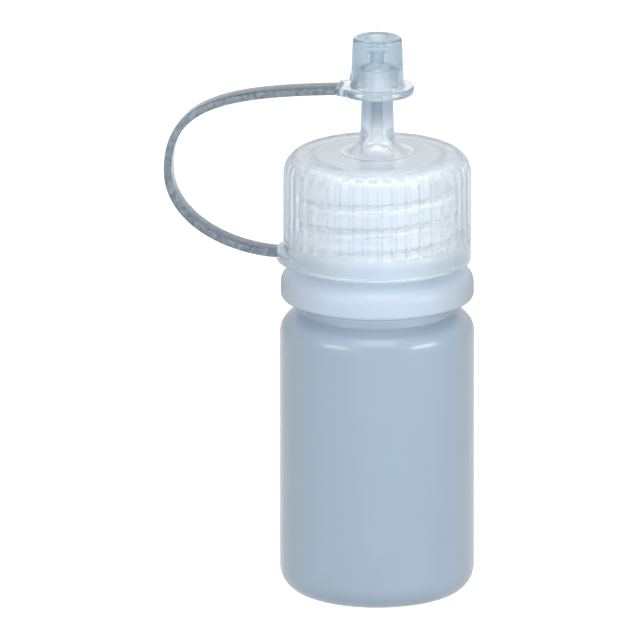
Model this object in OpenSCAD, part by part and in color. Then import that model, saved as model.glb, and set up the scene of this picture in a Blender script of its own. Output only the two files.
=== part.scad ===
// Squeeze dropper bottle: blow-moulded bottle, ribbed screw closure, spout and tethered tip cap.
// The origin is on the bottle's axis in the plane that it stands on, with +Z up.
// The tether's loop reaches out towards -X. All sizes are in millimetres.

/* [Bottle] */
// Outer radius of the body
body_r = 12.5; // [12.2:0.1:13]
// Thickness of the body's wall
wall_t = 0.9; // [0.7:0.1:1.1]
// Height of the top of the shoulder
shoulder_z = 37; // [36:0.5:37.5]
// Rounding of the heel
heel_round = 3.1; // [2.5:0.1:3.5]
// Rounding of the shoulder
shoulder_round = 2.6; // [2:0.1:2.8]
// Rise of the base at its centre
push_up = 0.9; // [0.5:0.1:1.2]
// Radius of the groove between the shoulder and the collar
groove_r = 9.4; // [9:0.1:10]
// Outer radius of the collar
collar_r = 12.45; // [12:0.05:12.6]
// Height of the collar's lower face
collar_z = 38.9; // [38.5:0.1:39.5]
// Depth of the collar along the axis
collar_h = 4; // [3.2:0.1:4.2]
// Radius of the neck under its thread
neck_r = 8.8; // [8.7:0.05:8.8]
// Radius of the neck's bore
bore_r = 7; // [6.8:0.1:7.2]
// Height of the neck's lip
lip_z = 55.8; // [55.6:0.1:55.8]

/* [Thread] */
// Rise of the thread in one turn, eight turns to the inch
pitch = 3.175; // [3:0.025:3.3]
// Turns of thread on the neck
neck_turns = 2.4; // [1.8:0.1:2.4]
// Turns of thread inside the closure
closure_turns = 2.25; // [1.5:0.25:2.5]
// Height of the neck's thread above the neck
neck_thread_h = 1; // [0.8:0.05:1]

/* [Closure] */
// Outer radius over the ribs
closure_r = 12.1; // [12:0.05:12.2]
// Height of the closure's lower rim
rim_z = 43.9; // [43.5:0.1:44]
// Height of the closure's top face
top_z = 58.3; // [58.2:0.1:58.6]
// Rounding of the top edge
edge_round = 2.8; // [2:0.1:3]
// Number of grip ribs
rib_count = 40; // [24:1:44]
// Radius of one rib's rounded crest
rib_r = 0.36; // [0.3:0.02:0.4]
// Radius of the wall between the ribs
root_r = 11.6; // [11.5:0.05:11.65]
// Depth of the smooth band under the ribs
band_h = 2.8; // [2:0.1:3.5]
// Radius of the closure's inner wall
skirt_r = 10.1; // [10.05:0.05:10.3]

/* [Spout] */
// Radius of the hub that fills the closure's hole
hub_r = 4.2; // [4:0.1:4.5]
// Rounding from the hub up into the nozzle
flare_round = 2; // [1.6:0.1:2.1]
// Radius of the nozzle just under its shoulder
nozzle_r = 1.9; // [1.85:0.05:2]
// Height of the nozzle's conical shoulder
nozzle_z = 69.5; // [69:0.1:69.6]
// Radius of the fine tip
tip_r = 0.88; // [0.8:0.02:0.9]
// Height of the fine tip's end
tip_z = 71.7; // [71:0.1:71.8]
// Radius of the drop orifice
orifice_r = 0.4; // [0.3:0.05:0.5]

/* [Tip cap] */
// Outer radius of the cap at its flange
cap_r = 3.45; // [3.4:0.05:3.6]
// Outer radius of the cap at its top
cap_top_r = 3.17; // [3.1:0.01:3.3]
// Radius of the flange
flange_r = 4.75; // [4.5:0.05:5]
// Height of the flange's lower face
flange_z = 66.05; // [66:0.05:66.5]
// Thickness of the flange
flange_h = 1; // [0.8:0.1:1.2]
// Height of the cap's top face
cap_z = 73.45; // [73.3:0.05:73.8]

/* [Tether] */
// Width of the ribbon
strap_w = 3; // [2.4:0.1:3.2]
// Thickness of the ribbon
strap_t = 0.95; // [0.8:0.05:1.05]
// Turn of the loop's plane about the axis, towards the back
loop_turn = 8; // [0:1:20]

/* [Hidden] */
$fn = 96;

// Clearance of a running fit, on the radius or along the axis
fit = 0.05;
// Overlap that keeps joined shapes from meeting on a bare edge
bite = 0.3;

collar_round = 2;
collar_low_round = 0.7;
// Slope of the collar's top up to the neck, and the point where it leaves the rounding
collar_slope = 20;
collar_rise_r = collar_r - collar_round * (1 - sin(collar_slope));
collar_rise_z = collar_z + collar_h - collar_round * (1 - cos(collar_slope));
collar_top_z = collar_rise_z + (collar_rise_r - neck_r) * tan(collar_slope);
groove_round = 0.5;
lip_round = 0.5;
stand_r = 7.2;
dome_r = (stand_r * stand_r + push_up * push_up) / (2 * push_up);

thread_steps = 24;
run_in_steps = 3;
// The neck's thread starts at this angle, and the closure's thread this far further round
neck_thread_turn = 105;
closure_thread_lead = 165;
flank = 0.4;
neck_half_w = 0.78;
closure_half_w = 0.75;
closure_thread_h = 0.95;
neck_thread_z = 46.6;
// The closure's thread hangs this far under the neck's, bearing up on its lower flank
thread_drop = 1.21;
closure_thread_z = neck_thread_z + pitch * closure_thread_lead / 360 - thread_drop;

top_t = 1.5;
ceiling_z = top_z - top_t;
ceiling_round = 0.8;
band_slope = 0.45;
rib_step = 360 / rib_count;
rib_phase = -90 + 1.5;
// The ribs' crests lie this far inside the smooth band
rib_sink = 0.04;
keeper_r = 8.7;
keeper_h = 0.8;
disc_r = 7.8;
disc_t = 0.9;
disc_z = ceiling_z - fit - disc_t;

// The lug is a crescent on the rim, where the tether starts
lug_reach = 13.05;
lug_shift = 2.95;
lug_h = 1.2;
lug_slope_h = 1;
lug_tab_r = 13.4;

plug_r = bore_r - 0.07;
plug_t = 0.85;
plug_h = 2.6;
plug_lead = 0.3;
plug_lead_h = 0.8;
nozzle_foot_r = nozzle_r + 0.3;
nozzle_cone_h = 0.8;
channel_r = 1.15;
channel_foot_r = 3;
flare_z = top_z + flare_round;

cap_bore_r = 2.75;
cap_mouth_r = 2.85;
socket_r = tip_r + fit;
socket_z = tip_z + 0.15;
seat_z = nozzle_z + 2 * fit;
dimple_r = 1.4;
dimple_h = 0.9;
cap_round = 0.35;
tab_r = 5.6;
// The mould's gate leaves a nub on the cap's wall
gate_z = 67.7;
gate_h = 1.05;
gate_w = 0.8;
gate_r = cap_r + 0.12;

// The tether's centre line: two curves, each four points of [distance from the axis, height]
strap_low = [[lug_tab_r, 44.5], [20.5, 45], [27.1, 49], [27.1, 55]];
strap_high = [[27.1, 55], [27.1, 63.5], [20.7, 66], [tab_r + fit, 66.45]];
strap_steps = 22;
strap_corner = 0.25;

// Half profile of a disc that turns about the axis, with its two outer corners rounded
module slab(r, z0, z1, low = 0, high = 0) {
    translate([0, z0 + low])
        square([r, z1 - z0 - low - high]);
    if (low > 0)
        corner(r - low, z0 + low, low, -1);
    if (high > 0)
        corner(r - high, z1 - high, high, 1);
}

// One rounded corner of a slab and the strip from it to the axis; side is 1 for the upper one
module corner(x, z, round_r, side) {
    intersection() {
        translate([x, z])
            circle(round_r);
        translate([x, side > 0 ? z : z - round_r])
            square(round_r);
    }
    translate([0, side > 0 ? z : z - round_r])
        square([x, round_r]);
}

// Triangles that join rings of points into a closed bar; each ring turns with the sweep
function bar_faces(rings, sides) = concat(
    [for (i = [0 : rings - 2], j = [0 : sides - 1], half = [0, 1])
        let (a = i * sides + j, b = i * sides + (j + 1) % sides)
        half == 0 ? [a, a + sides, b + sides] : [a, b + sides, b]],
    [for (j = [1 : sides - 2]) [0, j, j + 1]],
    [for (j = [1 : sides - 2]) let (last = (rings - 1) * sides) [last, last + j + 1, last + j]]
);

// Thread ridge on a wall of radius root_at, out to crest_at, fading into the wall at both ends
module thread_ridge(root_at, crest_at, half_w, start_z, start_turn, turns) {
    count = round(turns * thread_steps);
    side = sign(crest_at - root_at);
    deep = root_at - side * bite;
    ring = [for (i = [0 : count])
        let (
            angle = start_turn + 360 * i / thread_steps,
            z = start_z + pitch * i / thread_steps,
            grown = min(1, i / run_in_steps, (count - i) / run_in_steps),
            tall = deep + (crest_at - deep) * max(grown, 0.2),
            deep_w = half_w + flank * bite,
            tall_w = half_w - flank * side * (tall - root_at),
            low = side > 0 ? [deep, deep_w] : [tall, tall_w],
            high = side > 0 ? [tall, tall_w] : [deep, deep_w]
        )
        [for (corner = [[low[0], -low[1]], [low[0], low[1]], [high[0], high[1]], [high[0], -high[1]]])
            [corner[0] * cos(angle), corner[0] * sin(angle), z + corner[1]]]
    ];
    polyhedron([for (r = ring, p = r) p], bar_faces(count + 1, 4));
}

module bottle_outline() {
    slab(body_r, 0, shoulder_z, heel_round, shoulder_round);
    slab(groove_r, shoulder_z - bite, collar_z + bite);
    // The shoulder runs up into the groove in a hollow curve
    difference() {
        slab(groove_r + groove_round, shoulder_z - bite, shoulder_z + groove_round);
        translate([groove_r + groove_round, shoulder_z + groove_round])
            circle(groove_round);
    }
    slab(collar_r, collar_z, collar_z + collar_h, collar_low_round, collar_round);
    polygon([
        [0, collar_rise_z - bite], [collar_rise_r, collar_rise_z - bite],
        [collar_rise_r, collar_rise_z], [neck_r, collar_top_z], [0, collar_top_z]
    ]);
    slab(neck_r, collar_z, lip_z, 0, lip_round);
}

module bottle_hollow() {
    difference() {
        slab(body_r - wall_t, wall_t, shoulder_z - wall_t, heel_round - wall_t, shoulder_round - wall_t);
        translate([0, push_up - dome_r])
            circle(dome_r + wall_t);
    }
    slab(bore_r, shoulder_z - wall_t - bite, lip_z + bite);
}

module bottle() {
    color([0.76, 0.82, 0.87]) {
        rotate_extrude()
            difference() {
                bottle_outline();
                bottle_hollow();
                intersection() {
                    translate([0, push_up - dome_r])
                        circle(dome_r);
                    square([body_r, push_up + bite]);
                }
            }
        thread_ridge(
            neck_r, neck_r + neck_thread_h, neck_half_w, neck_thread_z, neck_thread_turn, neck_turns
        );
    }
}

// Half profile of the closure without its ribs
module closure_profile() {
    difference() {
        intersection() {
            slab(closure_r, rim_z, top_z, 0, edge_round);
            polygon([
                [0, rim_z], [closure_r, rim_z], [closure_r, rim_z + band_h],
                [root_r, rim_z + band_h + band_slope], [root_r, top_z], [0, top_z]
            ]);
        }
        slab(skirt_r, rim_z - bite, ceiling_z, 0, ceiling_round);
        square([hub_r + fit, top_z + bite]);
    }
    translate([disc_r + 0.2, ceiling_z - keeper_h])
        square([keeper_r - disc_r - 0.2, keeper_h + bite]);
}

// Ribs stand on the wall and die away where they meet the rounded top edge
module grip_ribs() {
    intersection() {
        translate([0, 0, rim_z + band_h - bite])
            linear_extrude(top_z - rim_z - band_h)
                for (i = [0 : rib_count - 1])
                    rotate(rib_phase + i * rib_step)
                        translate([closure_r - rib_sink - rib_r, 0])
                            circle(rib_r);
        rotate_extrude()
            difference() {
                slab(closure_r, rim_z, top_z, 0, edge_round);
                square([root_r - bite, top_z]);
            }
    }
}

// Crescent ledge at the rim with a square tab that the tether grows from
module strap_lug() {
    rotate(180 - loop_turn)
        difference() {
            union() {
                translate([lug_shift, 0, rim_z])
                    cylinder(h = lug_h, r = lug_reach - lug_shift);
                translate([lug_shift, 0, rim_z + lug_h])
                    cylinder(h = lug_slope_h, r1 = lug_reach - lug_shift, r2 = lug_reach - lug_shift - 1);
                translate([root_r, -strap_w / 2, rim_z])
                    cube([lug_tab_r - root_r, strap_w, lug_h]);
            }
            translate([0, 0, rim_z - bite])
                cylinder(h = lug_h + lug_slope_h + 2 * bite, r = skirt_r + bite);
        }
}

module screw_closure() {
    color([0.86, 0.92, 0.96]) {
        rotate_extrude()
            closure_profile();
        grip_ribs();
        strap_lug();
        thread_ridge(
            skirt_r, skirt_r - closure_thread_h, closure_half_w,
            closure_thread_z, neck_thread_turn + closure_thread_lead, closure_turns
        );
    }
}

// Sealing disc for the neck's lip, and under it the ring that plugs the bore, with a lead-in
module spout_base() {
    polygon([
        [0, disc_z], [plug_r - plug_t, disc_z], [plug_r - plug_t, disc_z - plug_h],
        [plug_r - plug_lead, disc_z - plug_h], [plug_r, disc_z - plug_h + plug_lead_h], [plug_r, disc_z],
        [disc_r, disc_z], [disc_r, disc_z + disc_t], [0, disc_z + disc_t]
    ]);
}

// Nozzle that rises from a hub in the closure's top, over a sealing disc and the plug
module spout_outline() {
    difference() {
        union() {
            spout_base();
            slab(hub_r, disc_z + bite, top_z);
            difference() {
                slab(hub_r, top_z - bite, flare_z);
                translate([nozzle_foot_r + flare_round, flare_z])
                    circle(flare_round);
            }
            polygon([
                [0, top_z], [nozzle_foot_r, top_z], [nozzle_foot_r, flare_z],
                [nozzle_r, nozzle_z], [tip_r, nozzle_z + nozzle_cone_h], [0, nozzle_z + nozzle_cone_h]
            ]);
            slab(tip_r, nozzle_z, tip_z, 0, 0.2);
        }
        polygon([
            [0, disc_z - bite], [channel_foot_r, disc_z - bite], [channel_foot_r, disc_z + 0.4],
            [channel_r + 0.2, flare_z], [channel_r, nozzle_z - 1.2],
            [orifice_r, nozzle_z - 0.4], [orifice_r, tip_z + bite], [0, tip_z + bite]
        ]);
    }
}

module dropper_spout() {
    color([0.74, 0.83, 0.89])
        rotate_extrude()
            spout_outline();
}

module tip_cap_profile() {
    difference() {
        union() {
            intersection() {
                slab(cap_r, flange_z, cap_z, 0, cap_round + cap_r - cap_top_r);
                polygon([[0, flange_z], [cap_r, flange_z], [cap_top_r, cap_z], [0, cap_z]]);
            }
            slab(flange_r, flange_z, flange_z + flange_h, 0.3, 0.3);
        }
        polygon([
            [0, flange_z - bite], [cap_mouth_r, flange_z - bite], [cap_bore_r, seat_z],
            [nozzle_r, seat_z], [socket_r, seat_z + nozzle_cone_h], [socket_r, socket_z], [0, socket_z]
        ]);
        translate([0, cap_z - dimple_h])
            square([dimple_r, dimple_h + bite]);
    }
}

module tip_cap() {
    color([0.78, 0.86, 0.91]) {
        rotate_extrude()
            tip_cap_profile();
        rotate(180 - loop_turn)
            translate([flange_r - 0.8, -strap_w / 2, flange_z])
                cube([tab_r - flange_r + 0.8, strap_w, flange_h - 0.1]);
        rotate(180)
            translate([cap_bore_r + bite, -gate_w / 2, gate_z])
                cube([gate_r - cap_bore_r - bite, gate_w, gate_h]);
    }
}

function bezier(c, t) =
    c[0] * pow(1 - t, 3) + 3 * c[1] * t * pow(1 - t, 2) + 3 * c[2] * t * t * (1 - t) + c[3] * pow(t, 3);

function bezier_way(c, t) =
    (c[1] - c[0]) * pow(1 - t, 2) + 2 * (c[2] - c[1]) * t * (1 - t) + (c[3] - c[2]) * t * t;

// Ribbon section with bevelled corners, as [across the thickness, across the width]
strap_section = let (t = strap_t / 2, w = strap_w / 2, c = strap_corner) [
    [t, c - w], [t, w - c], [t - c, w], [c - t, w],
    [-t, w - c], [-t, c - w], [c - t, -w], [t - c, -w]
];

module tether_strap() {
    ring = [for (curve = [strap_low, strap_high], i = [0 : strap_steps])
        if (curve == strap_low || i > 0)
            let (at = bezier(curve, i / strap_steps), way = bezier_way(curve, i / strap_steps))
            [at, way / norm(way)]
    ];
    color([0.72, 0.81, 0.87])
        rotate(180 - loop_turn)
            polyhedron(
                [for (r = ring, p = strap_section)
                    [r[0][0] + r[1][1] * p[0], p[1], r[0][1] - r[1][0] * p[0]]],
                bar_faces(len(ring), len(strap_section))
            );
}

bottle();
screw_closure();
dropper_spout();
tether_strap();
tip_cap();
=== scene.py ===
"""Visible model of a translucent squeeze dropper bottle with a tethered tip cap.

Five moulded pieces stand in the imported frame's own place and size: the blow-moulded bottle, the
ribbed screw closure, the dropper spout, the tether strap and the tip cap. Outlines are in
millimetres, as the radius from the bottle's axis and the height. Meshes are in metres, with +Z up.
"""

import logging
import math
from collections.abc import Iterator, Sequence
from dataclasses import dataclass
from enum import Enum

import bpy
from mathutils import Matrix, Vector


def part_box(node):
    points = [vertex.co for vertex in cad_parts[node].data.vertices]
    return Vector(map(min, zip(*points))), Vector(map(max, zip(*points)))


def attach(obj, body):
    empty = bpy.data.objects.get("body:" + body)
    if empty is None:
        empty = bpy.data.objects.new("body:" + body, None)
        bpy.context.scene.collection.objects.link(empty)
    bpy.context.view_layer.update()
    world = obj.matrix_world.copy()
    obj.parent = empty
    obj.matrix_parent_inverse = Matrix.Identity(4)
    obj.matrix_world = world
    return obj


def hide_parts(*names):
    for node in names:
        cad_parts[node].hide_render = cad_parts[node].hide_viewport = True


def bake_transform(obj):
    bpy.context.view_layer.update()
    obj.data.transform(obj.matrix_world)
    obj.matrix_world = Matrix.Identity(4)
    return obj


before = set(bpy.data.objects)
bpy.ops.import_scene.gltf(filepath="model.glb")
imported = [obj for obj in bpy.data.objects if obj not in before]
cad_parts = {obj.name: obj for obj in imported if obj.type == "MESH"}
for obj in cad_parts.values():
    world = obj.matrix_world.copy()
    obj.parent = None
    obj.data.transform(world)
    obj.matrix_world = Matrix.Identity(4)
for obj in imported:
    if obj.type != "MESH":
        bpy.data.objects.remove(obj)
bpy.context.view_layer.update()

MM = 0.001
# Direction in which the tether's loop reaches out, from +X towards +Y
LOOP_TURN = math.radians(172)
# Longest turn and fewest number of the facets of a rounded corner, and the flattest one rounded
ARC_STEP = math.radians(10)
ARC_FACETS = 4
NEARLY_STRAIGHT = math.pi - 0.02
# Narrow row beside a corner, the shortest wall that is divided, and distances that count as none
EDGE_ROW = 0.07
SHORT_WALL = 4 * EDGE_ROW
SAME_PLACE = 0.001
NO_LENGTH = 1e-6
# Height above an edge that still counts as level with it, and a distance past every width
HAIR = 0.0001
FAR_OFF = 100.0
# Colour sockets of a Mix node, whose names it uses more than once
MIX_FIRST, MIX_SECOND, MIX_RESULT = 6, 7, 2
# Opaque white, for the room and the floor
WHITE = (1.0, 1.0, 1.0, 1.0)

Socket = bpy.types.NodeSocket
log = logging.getLogger("dropper_bottle")


class Side(Enum):
    """The side of a turned wall on which a thread's ridge stands."""

    OUTSIDE = 1
    INSIDE = -1


class Clarity(Enum):
    """Share of the light that a moulded plastic passes instead of scattering at its surface."""

    MILKY = 0.45
    HAZY = 0.6
    SEMI_CLEAR = 0.78
    CLEAR = 0.88


class Polish(Enum):
    """Roughness that the mould leaves on a surface."""

    SATIN = 0.34
    SEMI_GLOSS = 0.2
    GLOSS = 0.13


class Rule(Enum):
    """Masks that say which rows of a turned outline a moulding rule may push in or out."""

    NONE = ""
    GRIP = "grip"
    THREAD = "thread"
    SEAM = "seam"
    TAB = "tab"
    GATE = "gate"


@dataclass(frozen=True)
class Corner:
    """One corner of a turned outline, and how the wall that starts there is divided."""

    r: float
    z: float
    rounding: float = 0.0
    step: float = 0.8
    rule: Rule = Rule.NONE


@dataclass(frozen=True)
class Row:
    """One ring of a turned mesh."""

    r: float
    z: float
    rule: Rule


def fillet(before: Corner, corner: Corner, after: Corner) -> list[tuple[float, float]]:
    """Rounds one corner of an outline.

    Args:
        before: The corner before it.
        corner: The corner to round.
        after: The corner after it.

    Returns:
        Points of the arc from its first tangent point to its last, or the bare corner.
    """
    here = Vector((corner.r, corner.z))
    back = Vector((before.r, before.z)) - here
    ahead = Vector((after.r, after.z)) - here
    if corner.rounding <= 0 or min(back.length, ahead.length) < NO_LENGTH:
        return [(corner.r, corner.z)]
    back.normalize()
    ahead.normalize()
    inner = back.angle(ahead)
    if inner > NEARLY_STRAIGHT:
        return [(corner.r, corner.z)]
    reach = corner.rounding / math.tan(inner / 2)
    centre = here + (back + ahead).normalized() * (corner.rounding / math.sin(inner / 2))
    first = here + back * reach - centre
    last = here + ahead * reach - centre
    turn = first.angle_signed(last)
    count = max(ARC_FACETS, math.ceil(abs(turn) / ARC_STEP))
    points = []
    for i in range(count + 1):
        spoke = first.copy()
        spoke.rotate(Matrix.Rotation(-turn * i / count, 2))
        points.append(tuple(centre + spoke))
    return points


def graded(length: float, step: float) -> list[float]:
    """Divides a straight wall, with a narrow row at each end that keeps its shading flat.

    Args:
        length: Length of the wall.
        step: Longest row.

    Returns:
        Distances of the inner rows from the wall's start.
    """
    if length < SHORT_WALL:
        return []
    count = max(1, math.ceil((length - 2 * EDGE_ROW) / step))
    inner = (length - 2 * EDGE_ROW) / count
    return [EDGE_ROW + inner * i for i in range(count + 1)]


def trace(corners: Sequence[Corner], closed: bool) -> list[Row]:
    """Turns an outline's corners into the rows of its mesh.

    Args:
        corners: The outline, anticlockwise round the material.
        closed: True for a ring that the axis doesn't cut.

    Returns:
        The rows in order.
    """
    rows: list[Row] = []
    last = len(corners) - 1
    arcs = []
    for i, corner in enumerate(corners):
        if not closed and i in (0, last):
            arcs.append([(corner.r, corner.z)])
        else:
            arcs.append(fillet(corners[i - 1], corner, corners[(i + 1) % len(corners)]))
    for i, (corner, arc) in enumerate(zip(corners, arcs)):
        met = bool(rows) and math.dist((rows[-1].r, rows[-1].z), arc[0]) < SAME_PLACE
        rows += [Row(r, z, corner.rule) for r, z in arc[met:]]
        if i == last and not closed:
            break
        start = Vector(arc[-1])
        way = Vector(arcs[(i + 1) % len(arcs)][0]) - start
        for distance in graded(way.length, corner.step):
            at = start + way.normalized() * distance
            rows.append(Row(at.x, at.y, corner.rule))
    return rows


def even_columns(count: int) -> list[float]:
    """Returns evenly spread angles of a turned mesh, in radians."""
    return [math.tau * j / count for j in range(count)]


def turned(name: str, rows: Sequence[Row], columns: Sequence[float], closed: bool) -> bpy.types.Mesh:
    """Turns rows about the axis into a closed mesh in metres.

    Args:
        name: Name of the mesh.
        rows: The rings, in millimetres. An open outline starts and ends on the axis.
        columns: Angles of the mesh's columns, in radians.
        closed: True for a ring that the axis doesn't cut.

    Returns:
        The smooth mesh, with one float mask for each rule that its rows carry.
    """
    points: list[tuple[float, float, float]] = []
    rings: list[list[int]] = []
    used = {row.rule for row in rows} - {Rule.NONE}
    masks: dict[Rule, list[float]] = {rule: [] for rule in Rule if rule in used}
    for i, row in enumerate(rows):
        pole = not closed and i in (0, len(rows) - 1)
        angles = columns[:1] if pole else columns
        radius = 0.0 if pole else row.r
        rings.append([len(points) + (0 if pole else j) for j in range(len(columns))])
        points += [(radius * MM * math.cos(a), radius * MM * math.sin(a), row.z * MM) for a in angles]
        for rule, values in masks.items():
            values += [float(row.rule is rule)] * len(angles)
    faces = []
    for i in range(len(rings) if closed else len(rings) - 1):
        low, high = rings[i], rings[(i + 1) % len(rings)]
        for j in range(len(columns)):
            k = (j + 1) % len(columns)
            faces.append(tuple(dict.fromkeys((low[j], low[k], high[k], high[j]))))
    mesh = bpy.data.meshes.new(name)
    mesh.from_pydata(points, [], faces)
    for rule, values in masks.items():
        mesh.attributes.new(rule.value, "FLOAT", "POINT").data.foreach_set("value", values)
    mesh.shade_smooth()
    mesh.validate()
    return mesh


def placed(name: str, data: bpy.types.ID) -> bpy.types.Object:
    """Returns a new object at the origin, linked into the scene: a mesh, curve, lamp or camera."""
    made = bpy.data.objects.new(name, data)
    bpy.context.scene.collection.objects.link(made)
    return made


def declare(tree: bpy.types.NodeTree, way: str, kind: str, *names: str) -> None:
    """Gives a node group sockets of one kind.

    Args:
        tree: The group.
        way: INPUT or OUTPUT.
        kind: What the sockets carry, such as Float or Color.
        *names: Their names.
    """
    for name in names:
        tree.interface.new_socket(name, in_out=way, socket_type=f"NodeSocket{kind}")


class Wiring:
    """Places and joins the nodes of one node tree."""

    def __init__(self, tree: bpy.types.NodeTree) -> None:
        """Keeps the tree to work on."""
        self.tree = tree

    def node(self, kind: str, *values: object, **settings: object) -> bpy.types.Node:
        """Adds a node.

        Args:
            kind: Type name of the node.
            *values: What its inputs are joined to or set to, in order. None leaves one as it is.
            **settings: Properties of the node.

        Returns:
            The node.
        """
        made = self.tree.nodes.new(kind)
        for key, value in settings.items():
            setattr(made, key, value)
        for socket, value in zip([s for s in made.inputs if s.enabled], values):
            self.feed(value, socket)
        return made

    def feed(self, value: object, socket: Socket) -> None:
        """Joins a socket to another, or sets it to a plain value."""
        if isinstance(value, Socket):
            self.tree.links.new(value, socket)
        elif value is not None:
            socket.default_value = value

    def math(self, operation: str, *values: object) -> Socket:
        """Adds a Math node and returns its result."""
        return self.node("ShaderNodeMath", *values, operation=operation).outputs[0]

    def fill(self, node: bpy.types.Node, values: dict[str, object]) -> bpy.types.Node:
        """Joins or sets a node's inputs by their names and returns the node."""
        for name, value in values.items():
            self.feed(value, node.inputs[name])
        return node

    def smooth_range(self, value: object, low: object, high: object) -> Socket:
        """Returns 0 where the value is at low, 1 where it is at high, and a smooth step between."""
        ranged = self.node("ShaderNodeMapRange", interpolation_type="SMOOTHSTEP")
        return self.fill(ranged, {"Value": value, "From Min": low, "From Max": high}).outputs["Result"]

    def parts(self, vector: object) -> tuple[Socket, ...]:
        """Returns the three parts of a vector."""
        return tuple(self.node("ShaderNodeSeparateXYZ", vector).outputs)

    def off_axis(self, x: object, y: object) -> Socket:
        """Returns how far a point is from the bottle's axis."""
        flat = self.node("ShaderNodeCombineXYZ", x, y, 0.0).outputs[0]
        return self.node("ShaderNodeVectorMath", flat, operation="LENGTH").outputs["Value"]

    def noise(self, place: object, scale: object, detail: float) -> Socket:
        """Returns smooth noise from 0 to 1 at a place, for its scale and detail."""
        noise = self.node("ShaderNodeTexNoise")
        return self.fill(noise, {"Vector": place, "Scale": scale, "Detail": detail}).outputs["Fac"]

    def mix(self, share: object, first: object, second: object, way: str) -> Socket:
        """Mixes two colours.

        Args:
            share: How much of the second colour there is, from 0 to 1.
            first: The first colour.
            second: The second colour.
            way: How they mix, such as MIX or MULTIPLY.

        Returns:
            The mixed colour.
        """
        mixed = self.node("ShaderNodeMix", data_type="RGBA", blend_type=way)
        self.feed(share, mixed.inputs["Factor"])
        self.feed(first, mixed.inputs[MIX_FIRST])
        self.feed(second, mixed.inputs[MIX_SECOND])
        return mixed.outputs[MIX_RESULT]


class Shaping:
    """A Geometry Nodes tree whose named sizes are set on the modifier that runs it."""

    def __init__(self, name: str, sizes: dict[str, float]) -> None:
        """Starts a tree with a geometry input, named sizes and a material.

        Args:
            name: Name of the tree.
            sizes: Names of its sizes with their values.
        """
        self.tree = bpy.data.node_groups.new(name, "GeometryNodeTree")
        self.wiring = Wiring(self.tree)
        self.sizes = {size: float(value) for size, value in sizes.items()}
        declare(self.tree, "INPUT", "Geometry", "Geometry")
        declare(self.tree, "INPUT", "Float", *sizes)
        declare(self.tree, "INPUT", "Material", "Material")
        declare(self.tree, "OUTPUT", "Geometry", "Geometry")
        self.given = self.tree.nodes.new("NodeGroupInput").outputs

    def mask(self, rule: Rule) -> Socket:
        """Returns the mask that a rule's rows carry."""
        named = self.wiring.node("GeometryNodeInputNamedAttribute", rule.value, data_type="FLOAT")
        return named.outputs[0]

    def polar(self) -> tuple[Socket, ...]:
        """Returns the angle round the axis in turns, and the radius and height in millimetres."""
        wire = self.wiring
        x, y, z = wire.parts(wire.node("GeometryNodeInputPosition").outputs[0])
        angle = wire.math("DIVIDE", wire.math("ARCTAN2", y, x), math.tau)
        return angle, wire.math("DIVIDE", wire.off_axis(x, y), MM), wire.math("DIVIDE", z, MM)

    def move(self, geometry: Socket, way: Socket, push: Socket) -> Socket:
        """Moves a wall.

        Args:
            geometry: The wall.
            way: The direction in which each of its points goes, of length 1.
            push: How far, in millimetres.

        Returns:
            The moved wall.
        """
        wire = self.wiring
        offset = wire.node("ShaderNodeVectorMath", way, operation="SCALE")
        wire.feed(wire.math("MULTIPLY", push, MM), offset.inputs["Scale"])
        shift = wire.node("GeometryNodeSetPosition")
        return wire.fill(shift, {"Geometry": geometry, "Offset": offset.outputs[0]}).outputs[0]

    def push_out(self, geometry: Socket, push: Socket) -> Socket:
        """Moves a wall away from the axis, by millimetres, and returns it."""
        wire = self.wiring
        at = wire.node("GeometryNodeInputPosition").outputs[0]
        flat = wire.node("ShaderNodeVectorMath", at, (1.0, 1.0, 0.0), operation="MULTIPLY").outputs[0]
        outward = wire.node("ShaderNodeVectorMath", flat, operation="NORMALIZE").outputs[0]
        return self.move(geometry, outward, push)

    def close(self, geometry: Socket) -> None:
        """Ends the tree in real geometry that wears the material."""
        wire = self.wiring
        real = wire.node("GeometryNodeRealizeInstances", geometry).outputs[0]
        dressed = wire.node("GeometryNodeSetMaterial")
        wire.fill(dressed, {"Geometry": real, "Material": self.given["Material"]})
        smooth = wire.node("GeometryNodeSetShadeSmooth")
        wire.fill(smooth, {"Geometry": dressed.outputs[0]})
        wire.fill(self.tree.nodes.new("NodeGroupOutput"), {"Geometry": smooth.outputs[0]})

    def apply(self, piece: bpy.types.Object, material: bpy.types.Material) -> bpy.types.Object:
        """Runs the tree on a piece.

        Args:
            piece: Object whose mesh or curve the tree shapes.
            material: What the shaped piece wears.

        Returns:
            The shaped piece, whose mesh is plain. It is a new object where the old one was a curve.
        """
        modifier = piece.modifiers.new(self.tree.name, "NODES")
        modifier.node_group = self.tree
        values = {**self.sizes, "Material": material}
        for socket in self.tree.interface.items_tree:
            if socket.in_out == "INPUT" and socket.name in values:
                modifier[socket.identifier] = values[socket.name]
        ready = piece.evaluated_get(bpy.context.evaluated_depsgraph_get())
        shaped = bpy.data.meshes.new_from_object(ready)
        piece.modifiers.remove(modifier)
        if piece.type == "MESH":
            piece.data = shaped
            return piece
        name = piece.name
        bpy.data.objects.remove(piece)
        return placed(name, shaped)


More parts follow.
